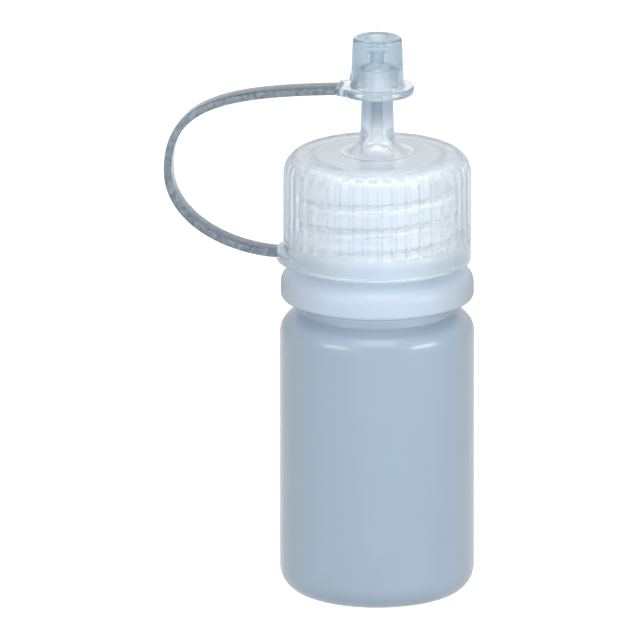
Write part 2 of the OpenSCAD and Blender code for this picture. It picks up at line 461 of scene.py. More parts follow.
@dataclass(frozen=True)
class Thread:
    """A screw thread's ridge, in millimetres, with its start in degrees from +X towards +Y."""

    start_z: float
    start_turn: float
    turns: float
    pitch: float
    height: float
    half_width: float
    side: Side
    flank: float = 0.4
    fade_turns: float = 0.125

    def shaping(self, name: str) -> Shaping:
        """Builds the tree that pushes the ridge out of a turned wall.

        Args:
            name: Name of the tree.

        Returns:
            The tree, ready for a wall whose rows carry the thread's mask.
        """
        shape = Shaping(name, {
            "Start Height": self.start_z,
            "Start Turn": self.start_turn / 360,
            "Turns": self.turns,
            "Pitch": self.pitch,
            "Ridge Height": self.height * self.side.value,
            "Half Width": self.half_width,
            "Crest Half Width": self.half_width - self.flank * self.height,
            "Fade Turns": self.fade_turns,
        })
        wire, given = shape.wiring, shape.given
        angle, _, height = shape.polar()
        climbed = wire.math("DIVIDE", wire.math("SUBTRACT", height, given["Start Height"]), given["Pitch"])
        past_start = wire.math("SUBTRACT", wire.math("ADD", angle, 1.0), given["Start Turn"])
        round_once = wire.math("FRACT", past_start)
        whole = wire.math("ROUND", wire.math("SUBTRACT", climbed, round_once))
        turn = wire.math("ADD", whole, round_once)
        apart = wire.math("ABSOLUTE", wire.math("SUBTRACT", climbed, turn))
        apart = wire.math("MULTIPLY", apart, given["Pitch"])
        ridge = wire.smooth_range(apart, given["Half Width"], given["Crest Half Width"])
        to_end = wire.math("MINIMUM", turn, wire.math("SUBTRACT", given["Turns"], turn))
        fade = wire.smooth_range(to_end, 0.0, given["Fade Turns"])
        push = wire.math("MULTIPLY", wire.math("MULTIPLY", ridge, fade), shape.mask(Rule.THREAD))
        push = wire.math("MULTIPLY", push, given["Ridge Height"])
        shape.close(shape.push_out(given["Geometry"], push))
        return shape


def haze_group() -> bpy.types.NodeTree:
    """Builds the shader group of a moulded plastic's cloudiness, with some painted shade on level faces and
    on the bare neck wall.

    Returns:
        A group with the clear and the milky colour, the heights and the radii in metres between
        which the wall goes from the one to the other, how much a bare wall keeps of the clear one
        (partly a thinner wall's clearer tone, partly painted shade between the thread's ridges), how
        much a level face keeps of it (painted shade on upward faces), the size and the amount of the
        clouds, and the roughness with its spread and frost as inputs. It puts out Color and Roughness,
        and three masks: Bare Wall, Lower Wall and Upright, which is 0 on a face that looks straight up.
    """
    tree = bpy.data.node_groups.new("Moulding haze", "ShaderNodeTree")
    declare(tree, "INPUT", "Color", "Clear Color", "Milky Color")
    declare(tree, "INPUT", "Float", "Clear Height", "Milky Height", "Milky Tip Height")
    declare(tree, "INPUT", "Float", "Bare Radius", "Ridge Radius", "Bare Share", "Painted Top Shade")
    declare(tree, "INPUT", "Float", "Cloud Scale", "Cloudiness")
    declare(tree, "INPUT", "Float", "Roughness", "Roughness Spread", "Frost")
    declare(tree, "OUTPUT", "Color", "Color")
    declare(tree, "OUTPUT", "Float", "Roughness", "Bare Wall", "Lower Wall", "Upright")
    wire = Wiring(tree)
    given = tree.nodes.new("NodeGroupInput").outputs
    spot = wire.node("ShaderNodeTexCoord").outputs
    place = spot["Object"]
    drift = wire.math("SUBTRACT", wire.noise(place, given["Cloud Scale"], 3.0), 0.5)
    x, y, height = wire.parts(place)
    above = wire.smooth_range(height, given["Clear Height"], given["Milky Height"])
    ridge = wire.smooth_range(wire.off_axis(x, y), given["Bare Radius"], given["Ridge Radius"])
    tip = wire.smooth_range(wire.math("SUBTRACT", height, given["Milky Tip Height"]), 0.0, MM)
    bare = wire.math("MULTIPLY", above, wire.math("SUBTRACT", 1.0, ridge))
    tilt = wire.math("MAXIMUM", wire.parts(spot["Normal"])[2], 0.0)
    level = wire.math("MULTIPLY", tilt, tilt)
    upright = wire.math("SUBTRACT", 1.0, level)
    # Painted shade on upward faces: they lose some of the milky colour and keep the darker clear one.
    top_shade_factor = wire.math("SUBTRACT", 1.0, wire.math("MULTIPLY", level, given["Painted Top Shade"]))
    share = wire.math("MULTIPLY", wire.math("MAXIMUM", above, tip), top_shade_factor)
    share = wire.math("MULTIPLY_ADD", drift, given["Cloudiness"], share)
    # The bare wall between the thread's ridges keeps some of the clear colour: partly its thinner wall,
    # partly painted shade between the ridges.
    share = wire.math("SUBTRACT", share, wire.math("MULTIPLY", bare, given["Bare Share"]))
    share = wire.math("MAXIMUM", wire.math("MINIMUM", share, 1.0), 0.0)
    rough = wire.math("MULTIPLY_ADD", drift, given["Roughness Spread"], given["Roughness"])
    frosted = wire.math("MULTIPLY", ridge, upright)
    wire.fill(tree.nodes.new("NodeGroupOutput"), {
        "Color": wire.mix(share, given["Clear Color"], given["Milky Color"], "MIX"),
        "Roughness": wire.math("MULTIPLY_ADD", frosted, given["Frost"], rough),
        "Bare Wall": bare,
        "Lower Wall": wire.math("SUBTRACT", 1.0, above),
        "Upright": upright,
    })
    return tree


def skin_group() -> bpy.types.NodeTree:
    """Builds the shader group of the fine skin that a mould leaves.

    Returns:
        A group with the grain's scale, the ripples' scale and their share as inputs. It puts out
        a Height for a Bump node.
    """
    tree = bpy.data.node_groups.new("Moulded skin", "ShaderNodeTree")
    declare(tree, "INPUT", "Float", "Grain Scale", "Ripple Scale", "Ripple Share")
    declare(tree, "OUTPUT", "Float", "Height")
    wire = Wiring(tree)
    given = tree.nodes.new("NodeGroupInput").outputs
    place = wire.node("ShaderNodeTexCoord").outputs["Object"]
    grain = wire.noise(place, given["Grain Scale"], 2.0)
    ripple = wire.noise(place, given["Ripple Scale"], 1.0)
    height = wire.math("MULTIPLY_ADD", ripple, given["Ripple Share"], grain)
    wire.fill(tree.nodes.new("NodeGroupOutput"), {"Height": height})
    return tree


class Workshop:
    """Shader groups that every finish shares, each built once."""

    def __init__(self) -> None:
        """Builds the groups."""
        self.haze = haze_group()
        self.skin = skin_group()


@dataclass(frozen=True)
class Plastic:
    """Finish of one unpigmented plastic as it leaves its mould.

    Heights, radii and depths are in millimetres. The wall is clear at clear_z and milky at milky_z,
    and milky again above milky_tip_z. The edge shade colour is painted shade: it is multiplied into
    the base colour of walls seen at a grazing angle and of the sides of the bare neck wall. The
    absorbed colour is what light keeps after it has gone one depth into the plastic.
    """

    name: str
    slot: str
    clear: tuple[float, float, float]
    milky: tuple[float, float, float]
    clarity: Clarity
    polish: Polish
    clear_z: float
    milky_z: float
    bare_r: float
    ridge_r: float
    # Painted shade colour, multiplied into walls seen at a grazing angle and into the sides of the bare neck
    # wall
    edge_shade_color: tuple[float, float, float]
    absorbed: tuple[float, float, float] = (1.0, 1.0, 1.0)
    depth: float = 0.0
    milky_tip_z: float = 1000.0
    # Share of the clear colour kept on the bare neck wall: partly a thinner wall, partly painted shade
    # between the thread's ridges
    bare_share: float = 0.0
    # Share of the clear colour on level faces: painted shade on upward faces
    painted_top_shade: float = 0.0
    lets_through: float = 0.85
    # How fast the painted edge shade grows towards grazing angles, and how much of it level faces get
    edge_shade_power: float = 5.0
    level_edge_shade: float = 0.0
    shaded_sides: float = 0.0
    shade_from: float = 0.1
    shade_full: float = 0.55
    frost: float = 0.0
    coat: float = 0.0
    coat_roughness: float = 0.14
    cloud_scale: float = 160.0
    cloudiness: float = 0.5
    spread: float = 0.05
    grain_scale: float = 1800.0
    ripple_scale: float = 260.0
    ripple_share: float = 2.0
    bump: float = 0.04
    bump_depth: float = 0.1
    index: float = 1.5
    gleam: float = 0.5

    def material(self, shop: Workshop) -> bpy.types.Material:
        """Builds the material.

        Args:
            shop: The shared shader groups.

        Returns:
            The material.
        """
        made = bpy.data.materials.new(self.name)
        made.use_nodes = True
        wire = Wiring(made.node_tree)
        shader = made.node_tree.nodes["Principled BSDF"]
        haze = wire.fill(wire.node("ShaderNodeGroup", node_tree=shop.haze), {
            "Clear Color": (*self.clear, 1.0), "Milky Color": (*self.milky, 1.0),
            "Clear Height": self.clear_z * MM, "Milky Height": self.milky_z * MM,
            "Milky Tip Height": self.milky_tip_z * MM, "Bare Radius": self.bare_r * MM,
            "Ridge Radius": self.ridge_r * MM, "Bare Share": self.bare_share,
            "Painted Top Shade": self.painted_top_shade, "Cloud Scale": self.cloud_scale,
            "Cloudiness": self.cloudiness, "Roughness": self.polish.value,
            "Roughness Spread": self.spread, "Frost": self.frost,
        }).outputs
        skin = wire.fill(wire.node("ShaderNodeGroup", node_tree=shop.skin), {
            "Grain Scale": self.grain_scale, "Ripple Scale": self.ripple_scale,
            "Ripple Share": self.ripple_share,
        }).outputs
        bump = wire.fill(wire.node("ShaderNodeBump"), {
            "Strength": self.bump, "Distance": self.bump_depth * MM, "Height": skin["Height"],
        })
        wire.fill(shader, {
            # Painted shade: the edge shade colour darkens the base colour at grazing angles and on the sides
            # of the bare neck wall.
            "Base Color": wire.mix(self.painted_shade(wire, haze), haze["Color"], (*self.edge_shade_color, 1.0), "MULTIPLY"),
            "Roughness": haze["Roughness"],
            "Normal": bump.outputs["Normal"],
            "Transmission Weight": self.clarity.value,
            "IOR": self.index,
            "Specular IOR Level": self.gleam,
        })
        if self.coat > 0:
            coated = wire.math("MULTIPLY", haze["Lower Wall"], self.coat)
            wire.fill(shader, {"Coat Weight": coated, "Coat Roughness": self.coat_roughness})
        lamp_ray = wire.node("ShaderNodeLightPath").outputs["Is Shadow Ray"]
        wire.feed(wire.math("MULTIPLY_ADD", lamp_ray, -self.lets_through, 1.0), shader.inputs["Alpha"])
        if self.depth > 0:
            inside = wire.node("ShaderNodeVolumeAbsorption", (*self.absorbed, 1.0), 1 / (self.depth * MM))
            wire.feed(inside.outputs[0], made.node_tree.nodes["Material Output"].inputs["Volume"])
        return made

    def painted_shade(self, wire: Wiring, haze: bpy.types.NodeOutputs) -> Socket:
        """Finds how much painted shade each place has.

        Args:
            wire: The material's wiring.
            haze: What the cloudiness group puts out.

        Returns:
            The share of the painted shade colour: at grazing angles, and on the sides of a bare wall.
        """
        # Painted shade at grazing angles, from how edge-on the wall is seen; level faces get only part of
        # it.
        edge = wire.node("ShaderNodeLayerWeight", 0.5).outputs["Facing"]
        rim = wire.math("MULTIPLY_ADD", haze["Upright"], 1.0 - self.level_edge_shade, self.level_edge_shade)
        rim = wire.math("MULTIPLY", wire.math("POWER", edge, self.edge_shade_power), rim)
        sides = wire.smooth_range(edge, self.shade_from, self.shade_full)
        sides = wire.math("MULTIPLY", sides, haze["Bare Wall"])
        return wire.math("MAXIMUM", rim, wire.math("MULTIPLY", sides, self.shaded_sides))


# Each finish's edge shade colour, with its power and its share on level faces, is painted shade at grazing
# angles; the body's shaded sides are painted shade on its bare neck wall.
BODY_PLASTIC = Plastic(
    "Milky bottle polyethylene", "bottle_plastic",
    clear=(0.38, 0.47, 0.55), milky=(0.60, 0.68, 0.77), clarity=Clarity.MILKY, polish=Polish.SATIN,
    clear_z=36.4, milky_z=39.4, bare_r=8.9, ridge_r=9.3, bare_share=0.2, edge_shade_color=(0.03, 0.03, 0.03),
    edge_shade_power=2.5, cloudiness=0.3, lets_through=0.9, shaded_sides=0.75, coat=0.4, gleam=0.2,
)
CLOSURE_PLASTIC = Plastic(
    "Semi-clear closure polypropylene", "closure_plastic",
    clear=(0.70, 0.76, 0.80), milky=(0.885, 0.91, 0.93), clarity=Clarity.SEMI_CLEAR,
    polish=Polish.SEMI_GLOSS, clear_z=45.2, milky_z=46.8, bare_r=11.2, ridge_r=10.4,
    edge_shade_color=(0.25, 0.28, 0.31), edge_shade_power=2.4, level_edge_shade=0.9, absorbed=(0.82, 0.88, 0.92),
    depth=9.0, frost=0.5, lets_through=0.94, index=1.4,
)
SPOUT_PLASTIC = Plastic(
    "Hazy spout polypropylene", "spout_plastic",
    clear=(0.38, 0.46, 0.52), milky=(0.985, 0.99, 0.995), clarity=Clarity.SEMI_CLEAR,
    polish=Polish.GLOSS, clear_z=64.8, milky_z=58.6, milky_tip_z=65.6, bare_r=-2.0, ridge_r=-1.0,
    edge_shade_color=(0.36, 0.44, 0.50), edge_shade_power=1.3, absorbed=(0.50, 0.62, 0.72), depth=9.0,
    lets_through=0.9,
)
# The strap's level faces get the darker clear colour: painted shade on its top.
STRAP_PLASTIC = Plastic(
    "Tether polypropylene", "strap_plastic",
    clear=(0.11, 0.16, 0.21), milky=(0.66, 0.74, 0.79), clarity=Clarity.HAZY,
    polish=Polish.GLOSS, clear_z=-200.0, milky_z=400.0, painted_top_shade=1.0, bare_r=-2.0, ridge_r=-1.0,
    edge_shade_color=(0.5, 0.55, 0.6), absorbed=(0.12, 0.20, 0.26), depth=2.2, cloud_scale=1500.0,
    cloudiness=1.2, index=1.4,
)
CAP_PLASTIC = Plastic(
    "Clear tip cap polypropylene", "cap_plastic",
    clear=(0.62, 0.70, 0.75), milky=(0.88, 0.91, 0.93), clarity=Clarity.CLEAR,
    polish=Polish.GLOSS, clear_z=71.0, milky_z=66.0, bare_r=-2.0, ridge_r=-1.0,
    edge_shade_color=(0.28, 0.42, 0.50), edge_shade_power=0.6, absorbed=(0.75, 0.81, 0.85), depth=3.8,
    lets_through=0.9,
)


@dataclass
class Moulding:
    """A moulded piece of the bottle that stands for one node of the frame."""

    name: str
    node: str
    body: str
    finish: Plastic

    def high(self) -> Vector:
        """Returns the highest corner of the node, in millimetres."""
        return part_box(self.node)[1] / MM

    def low(self) -> Vector:
        """Returns the lowest corner of the node, in millimetres."""
        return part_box(self.node)[0] / MM

    def build(self) -> bpy.types.Object:
        """Makes the piece's first form; each kind of moulding has its own."""
        raise NotImplementedError

    def shapings(self) -> Iterator[Shaping]:
        """Yields the trees that shape the piece further, in order. A plain piece has none."""
        yield from ()

    def dress(self, piece: bpy.types.Object, material: bpy.types.Material) -> bpy.types.Object:
        """Shapes the piece further and gives it its material.

        Args:
            piece: What build made.
            material: What the piece wears.

        Returns:
            The finished piece.
        """
        for shaping in self.shapings():
            piece = shaping.apply(piece, material)
        if not piece.data.materials:
            piece.data.materials.append(material)
        return piece

    def fit(self, piece: bpy.types.Object) -> None:
        """Ties the piece to its node and its body."""
        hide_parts(self.node)
        self.join(piece)

    def join(self, piece: bpy.types.Object) -> None:
        """Makes the piece ride on its body."""
        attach(piece, self.body)


@dataclass
class TurnedMoulding(Moulding):
    """A moulding whose walls are one outline, turned about the bottle's axis.

    It is a ring where the axis doesn't cut it. Lengths are in millimetres.
    """

    ring: bool
    columns: int = 128

    def outline(self) -> list[Corner]:
        """Returns the outline's corners; each moulding has its own."""
        raise NotImplementedError

    def angles(self) -> list[float]:
        """Returns the angles of the mesh's columns."""
        return even_columns(self.columns)

    def build(self) -> bpy.types.Object:
        """Turns the outline."""
        mesh = turned(self.name, trace(self.outline(), self.ring), self.angles(), self.ring)
        return placed(self.name, mesh)


@dataclass
class Bottle(TurnedMoulding):
    """The blow-moulded bottle: base, body, shoulder, collar and threaded neck."""

    name: str = "Bottle_body"
    node: str = "bottle"
    body: str = "bottle"
    finish: Plastic = BODY_PLASTIC
    ring: bool = False
    columns: int = 200
    wall: float = 0.9
    shoulder_z: float = 37.0
    heel_round: float = 3.1
    shoulder_round: float = 2.6
    push_up: float = 0.9
    dome_steps: int = 10
    stand_r: float = 7.2
    groove_r: float = 9.4
    groove_round: float = 0.5
    crease_round: float = 0.3
    collar_r: float = 12.45
    collar_z: float = 38.9
    collar_h: float = 4.0
    collar_round: float = 2.0
    collar_low_round: float = 0.7
    collar_slope: float = math.radians(20)
    neck_r: float = 8.8
    bore_r: float = 7.0
    lip_round: float = 0.5
    hollow_round: float = 1.2
    thread: Thread = Thread(
        start_z=46.6, start_turn=105, turns=2.4, pitch=3.175, height=1.0, half_width=0.78,
        side=Side.OUTSIDE,
    )
    thread_row: float = 0.12
    seam_h: float = 0.035
    seam_half_w: float = 0.16
    seam_shares: tuple[float, ...] = (0.3, 0.6, 0.8, 1.0, 1.4)
    seam_clear_z: float = 0.5

    def dome(self, reach: float) -> list[Corner]:
        """Curves the base up to its centre.

        Args:
            reach: Radius of the dome's edge.

        Returns:
            Corners from the axis out to the dome's edge, over a flat of height 0.
        """
        rise = self.push_up
        ball = (reach * reach + rise * rise) / (2 * rise)
        radii = [reach * i / self.dome_steps for i in range(self.dome_steps)]
        return [Corner(r, rise - ball + math.sqrt(ball**2 - r**2)) for r in radii]

    def outline(self) -> list[Corner]:
        """Returns the outline from the base's centre up the outside and down the hollow.

        The collar's rounding is a circle whose top is level with the collar's height, and its
        sloping top leaves that circle and rises to the neck.
        """
        body_r, lip_z = self.high().x, self.high().z
        under, inner_r = self.shoulder_z - self.wall, body_r - self.wall
        inner_stand_r = self.stand_r + self.wall
        slope = math.tan(self.collar_slope)
        leaves_r = self.collar_r - self.collar_round * (1 - math.sin(self.collar_slope))
        leaves_z = self.collar_z + self.collar_h - self.collar_round * (1 - math.cos(self.collar_slope))
        edge_z = leaves_z - (self.collar_r - leaves_r) * slope
        collar_top = leaves_z + (leaves_r - self.neck_r) * slope
        seam = Rule.SEAM
        return [
            *(Corner(c.r, c.z, rule=seam) for c in self.dome(self.stand_r)[:-1]),
            Corner(self.stand_r, 0, rounding=0.5),
            Corner(body_r, 0, self.heel_round, rule=seam),
            Corner(body_r, self.shoulder_z, self.shoulder_round, step=0.4, rule=seam),
            Corner(self.groove_r, self.shoulder_z, self.groove_round),
            Corner(self.groove_r, self.collar_z, self.crease_round),
            Corner(self.collar_r, self.collar_z, self.collar_low_round),
            Corner(self.collar_r, edge_z, self.collar_round),
            Corner(self.neck_r, collar_top, self.crease_round, self.thread_row, Rule.THREAD),
            Corner(self.neck_r, lip_z, self.lip_round),
            Corner(self.bore_r, lip_z, rounding=0.3),
            Corner(self.bore_r, under, self.hollow_round),
            Corner(inner_r, under, self.shoulder_round - self.wall),
            Corner(inner_r, self.wall, self.heel_round - self.wall),
            Corner(inner_stand_r, self.wall, rounding=0.5),
            *(Corner(c.r, c.z + self.wall) for c in reversed(self.dome(inner_stand_r))),
        ]

    def angles(self) -> list[float]:
        """Returns the columns' angles, with narrow ones along the mould's parting line."""
        near = [self.seam_half_w / self.high().x * share for share in self.seam_shares]
        extra = [
            (half + side * angle) % math.tau
            for half in (0, math.pi) for side in (-1, 1) for angle in near
        ]
        return sorted({round(a, 6) for a in even_columns(self.columns) + extra})

    def seam(self) -> Shaping:
        """Builds the tree that raises the mould's parting line on the walls and under the base."""
        shape = Shaping("Parting line", {
            "Ridge Height": self.seam_h,
            "Ridge Half Width": self.seam_half_w,
            "Clear Height": self.seam_clear_z,
        })
        wire, given = shape.wiring, shape.given
        _, y, z = wire.parts(wire.node("GeometryNodeInputPosition").outputs[0])
        apart = wire.math("DIVIDE", wire.math("ABSOLUTE", y), MM)
        ridge = wire.smooth_range(apart, given["Ridge Half Width"], 0.0)
        off_floor = wire.smooth_range(wire.math("DIVIDE", z, MM), 0.0, given["Clear Height"])
        lift = wire.math("MULTIPLY", wire.math("MULTIPLY", ridge, given["Ridge Height"]), off_floor)
        lift = wire.math("MULTIPLY", lift, shape.mask(Rule.SEAM))
        facing = wire.node("GeometryNodeInputNormal").outputs[0]
        shape.close(shape.move(given["Geometry"], facing, lift))
        return shape

    def shapings(self) -> Iterator[Shaping]:
        """Yields the thread and the parting line."""
        yield self.thread.shaping("Neck thread")
        yield self.seam()


@dataclass
class ScrewClosure(TurnedMoulding):
    """The ribbed screw closure with its internal thread and the lug that the tether grows from.

    The ribs end over a smooth band at the rim, and the lug swells out of that band.
    """

    name: str = "Closure_cap"
    node: str = "screw_closure"
    body: str = "closure"
    finish: Plastic = CLOSURE_PLASTIC
    ring: bool = True
    edge_round: float = 2.8
    edge_row: float = 0.5
    rib_count: int = 40
    rib_height: float = 0.46
    rib_half_w: float = 0.36
    rib_columns: int = 3
    between_ribs: tuple[float, ...] = (0.14, 0.86)
    root_r: float = 11.6
    first_rib: float = math.radians(-88.5)
    groove_end: float = 0.9
    groove_fade: float = 0.6
    groove_blend: float = 0.12
    band_h: float = 2.8
    band_slope: float = 0.45
    skirt_r: float = 10.1
    top_t: float = 1.5
    hole_r: float = 4.25
    keeper_in: float = 8.0
    keeper_out: float = 8.7
    keeper_h: float = 0.8
    keeper_round: float = 0.15
    lug_shift: float = 2.95
    lug_r: float = 10.1
    lug_h: float = 1.2
    lug_blend: float = 0.1
    thread: Thread = Thread(
        start_z=46.845, start_turn=270, turns=2.25, pitch=3.175, height=0.95, half_width=0.75,
        side=Side.INSIDE, flank=0.55,
    )
    thread_row: float = 0.17
    grip_row: float = 0.24
    rim_row: float = 0.3

    def outline(self) -> list[Corner]:
        """Returns the outline, anticlockwise from the rim's outer edge."""
        outer_r, top_z, rim_z = self.high().x, self.high().z, self.low().z
        ceiling_z = top_z - self.top_t
        keeper_z = ceiling_z - self.keeper_h
        return [
            Corner(outer_r, rim_z, 0.25, self.grip_row, Rule.GRIP),
            Corner(outer_r, top_z, self.edge_round, self.edge_row, Rule.GRIP),
            Corner(self.hole_r, top_z, rounding=0.04),
            Corner(self.hole_r, ceiling_z, rounding=0.12),
            Corner(self.keeper_in, ceiling_z, rounding=0.1),
            Corner(self.keeper_in, keeper_z, self.keeper_round),
            Corner(self.keeper_out, keeper_z, self.keeper_round),
            Corner(self.keeper_out, ceiling_z, rounding=0.2),
            Corner(self.skirt_r, ceiling_z, 0.8, self.thread_row, Rule.THREAD),
            Corner(self.skirt_r, rim_z, 0.3, self.rim_row, Rule.THREAD),
        ]

    def angles(self) -> list[float]:
        """Returns the columns' angles: close together over each rib, wider between two ribs."""
        period = math.tau / self.rib_count
        half = self.rib_half_w / self.root_r
        side = self.rib_columns
        over = [half * math.sin(math.pi / 2 * i / side) for i in range(-side, side + 1)]
        between = [half + (period - 2 * half) * share for share in self.between_ribs]
        return sorted(
            (self.first_rib + period * i + angle) % math.tau
            for i in range(self.rib_count) for angle in over + between
        )

    def grip(self) -> Shaping:
        """Builds the tree that cuts the grooves between the ribs and swells the lug."""
        rim_z, wall_r = self.low().z, self.high().x
        shape = Shaping("Grip ribs and lug", {
            "Rib Count": self.rib_count,
            "First Rib": self.first_rib / math.tau,
            "Rib Half Width": self.rib_half_w,
            "Rib Height": self.rib_height,
            "Root Radius": self.root_r,
            "Groove End": self.high().z - self.groove_end,
            "Groove Fade": self.groove_fade,
            "Groove Blend": self.groove_blend,
            "Band Top": rim_z + self.band_h,
            "Band Slope": (wall_r - self.root_r) / self.band_slope,
            "Lug Angle": LOOP_TURN,
            "Lug Shift": self.lug_shift,
            "Lug Radius": self.lug_r,
            "Lug Top": rim_z + self.lug_h,
            "Lug Blend": self.lug_blend,
            "Wall Radius": wall_r,
        })
        wire, given = shape.wiring, shape.given
        angle, _, height = shape.polar()
        over_band = wire.math("MAXIMUM", wire.math("SUBTRACT", height, given["Band Top"]), 0.0)
        on_band = wire.math("LESS_THAN", over_band, HAIR)
        groove = self.groove(shape, angle, height, over_band)
        cut = wire.math("SUBTRACT", wire.math("MULTIPLY", groove, on_band), groove)
        swell = wire.math("MULTIPLY", self.lug(shape, angle, height), on_band)
        push = wire.math("MULTIPLY", wire.math("ADD", cut, swell), shape.mask(Rule.GRIP))
        shape.close(shape.push_out(given["Geometry"], push))
        return shape

    def groove(self, shape: Shaping, angle: Socket, height: Socket, over_band: Socket) -> Socket:
        """Finds how deep the grooves between the rounded ribs are.

        Args:
            shape: The grip's tree.
            angle: Angle round the axis, in turns.
            height: Height, in millimetres.
            over_band: Height over the smooth band at the rim, in millimetres.

        Returns:
            The depth, in millimetres.
        """
        wire, given = shape.wiring, shape.given
        from_rib = wire.math("SUBTRACT", angle, given["First Rib"])
        from_rib = wire.math("MULTIPLY", from_rib, given["Rib Count"])
        apart = wire.math("SUBTRACT", from_rib, wire.math("ROUND", from_rib))
        apart = wire.math("DIVIDE", wire.math("MULTIPLY", apart, math.tau), given["Rib Count"])
        apart = wire.math("MULTIPLY", apart, given["Root Radius"])
        apart = wire.math("DIVIDE", apart, given["Rib Half Width"])
        sunk = wire.math("SUBTRACT", 1.0, wire.math("MULTIPLY", apart, apart))
        crown = wire.math("SQRT", wire.math("MAXIMUM", sunk, 0.0))
        depth = wire.math("MULTIPLY", wire.math("SUBTRACT", 1.0, crown), given["Rib Height"])
        allowed = wire.math("MULTIPLY", over_band, given["Band Slope"])
        depth = wire.math("SMOOTH_MIN", depth, allowed, given["Groove Blend"])
        fade_from = wire.math("SUBTRACT", given["Groove End"], given["Groove Fade"])
        return wire.math("MULTIPLY", depth, wire.smooth_range(height, given["Groove End"], fade_from))

    def lug(self, shape: Shaping, angle: Socket, height: Socket) -> Socket:
        """Finds how far the lug swells out of the rim's band.

        Args:
            shape: The grip's tree.
            angle: Angle round the axis, in turns.
            height: Height, in millimetres.

        Returns:
            The swell, in millimetres: a drum beside the axis, which narrows over the lug's top.
        """
        wire, given = shape.wiring, shape.given
        off = wire.math("SUBTRACT", wire.math("MULTIPLY", angle, math.tau), given["Lug Angle"])
        across = wire.math("MULTIPLY", given["Lug Shift"], wire.math("SINE", off))
        shrink = wire.math("MAXIMUM", wire.math("SUBTRACT", height, given["Lug Top"]), 0.0)
        drum = wire.math("SUBTRACT", given["Lug Radius"], shrink)
        chord = wire.math("MULTIPLY", across, across)
        chord = wire.math("SUBTRACT", wire.math("MULTIPLY", drum, drum), chord)
        chord = wire.math("SQRT", wire.math("MAXIMUM", chord, 0.0))
        along = wire.math("MULTIPLY", given["Lug Shift"], wire.math("COSINE", off))
        reach = wire.math("SUBTRACT", wire.math("ADD", chord, along), given["Wall Radius"])
        return wire.math("SMOOTH_MAX", reach, 0.0, given["Lug Blend"])

    def shapings(self) -> Iterator[Shaping]:
        """Yields the ribs with the lug, and the thread."""
        yield self.grip()
        yield self.thread.shaping("Closure thread")


@dataclass
class DropperSpout(TurnedMoulding):
    """The spout: sealing disc, plug, flared nozzle and fine drop tip with its channel.

    Below the orifice's land the channel widens at the throat, goes down with a slight draft, and
    opens into its foot in the disc.
    """

    name: str = "Spout_nozzle"
    node: str = "dropper_spout"
    body: str = "spout"
    finish: Plastic = SPOUT_PLASTIC
    ring: bool = True
    disc_z: float = 55.85
    disc_t: float = 0.9
    disc_round: float = 0.12
    plug_r: float = 6.93
    plug_t: float = 0.85
    plug_lead: float = 0.3
    plug_lead_h: float = 0.8
    plug_round: float = 0.15
    hub_r: float = 4.2
    top_z: float = 58.3
    lip_z: float = 58.32
    lip_r: float = 4.7
    lip_t: float = 0.04
    flare_round: float = 2.0
    flare_steps: int = 14
    foot_r: float = 2.2
    nozzle_r: float = 1.9
    nozzle_z: float = 69.5
    nozzle_round: float = 0.25
    cone_h: float = 0.8
    tip_r: float = 0.88
    orifice_r: float = 0.4
    land_h: float = 0.4
    throat_h: float = 1.2
    channel_r: float = 0.6
    channel_draft: float = 0.2
    channel_round: float = 0.3
    channel_foot_r: float = 3.0
    channel_foot_h: float = 0.4
    fine_row: float = 0.3

    def outline(self) -> list[Corner]:
        """Returns the outline, anticlockwise from the plug's inner foot."""
        disc_r, tip_z, plug_z = self.high().x, self.high().z, self.low().z
        disc_top = self.disc_z + self.disc_t
        flare_z = self.top_z + self.flare_round
        plug_in = self.plug_r - self.plug_t
        return [
            Corner(plug_in, plug_z, self.plug_round),
            Corner(self.plug_r - self.plug_lead, plug_z, self.plug_round),
            Corner(self.plug_r, plug_z + self.plug_lead_h, rounding=0.5),
            Corner(self.plug_r, self.disc_z, self.plug_round),
            Corner(disc_r, self.disc_z, self.disc_round),
            Corner(disc_r, disc_top, self.disc_round),
            Corner(self.hub_r, disc_top, rounding=0.1),
            Corner(self.hub_r, self.lip_z),
            Corner(self.lip_r, self.lip_z),
            Corner(self.lip_r, self.lip_z + self.lip_t, step=self.fine_row),
            *self.flare(),
            Corner(self.foot_r, flare_z),
            Corner(self.nozzle_r, self.nozzle_z, self.nozzle_round, self.fine_row),
            Corner(self.tip_r, self.nozzle_z + self.cone_h, self.nozzle_round, self.fine_row),
            Corner(self.tip_r, tip_z, 0.2, self.fine_row),
            Corner(self.orifice_r, tip_z, rounding=0.06),
            Corner(self.orifice_r, self.nozzle_z - self.land_h, self.channel_round),
            Corner(self.channel_r, self.nozzle_z - self.throat_h, self.channel_round),
            Corner(self.channel_r + self.channel_draft, flare_z, self.channel_round),
            Corner(self.channel_foot_r, self.disc_z + self.channel_foot_h, self.channel_round),
            Corner(self.channel_foot_r, self.disc_z, rounding=0.1),
            Corner(plug_in, self.disc_z, rounding=0.3),
        ]

    def flare(self) -> Iterator[Corner]:
        """Yields the quarter of an ellipse that rises from the lip into the nozzle."""
        for i in range(1, self.flare_steps):
            turn = math.pi / 2 * i / self.flare_steps
            yield Corner(
                self.lip_r - (self.lip_r - self.foot_r) * math.sin(turn),
                self.lip_z + self.lip_t + self.flare_round * (1 - math.cos(turn)),
            )


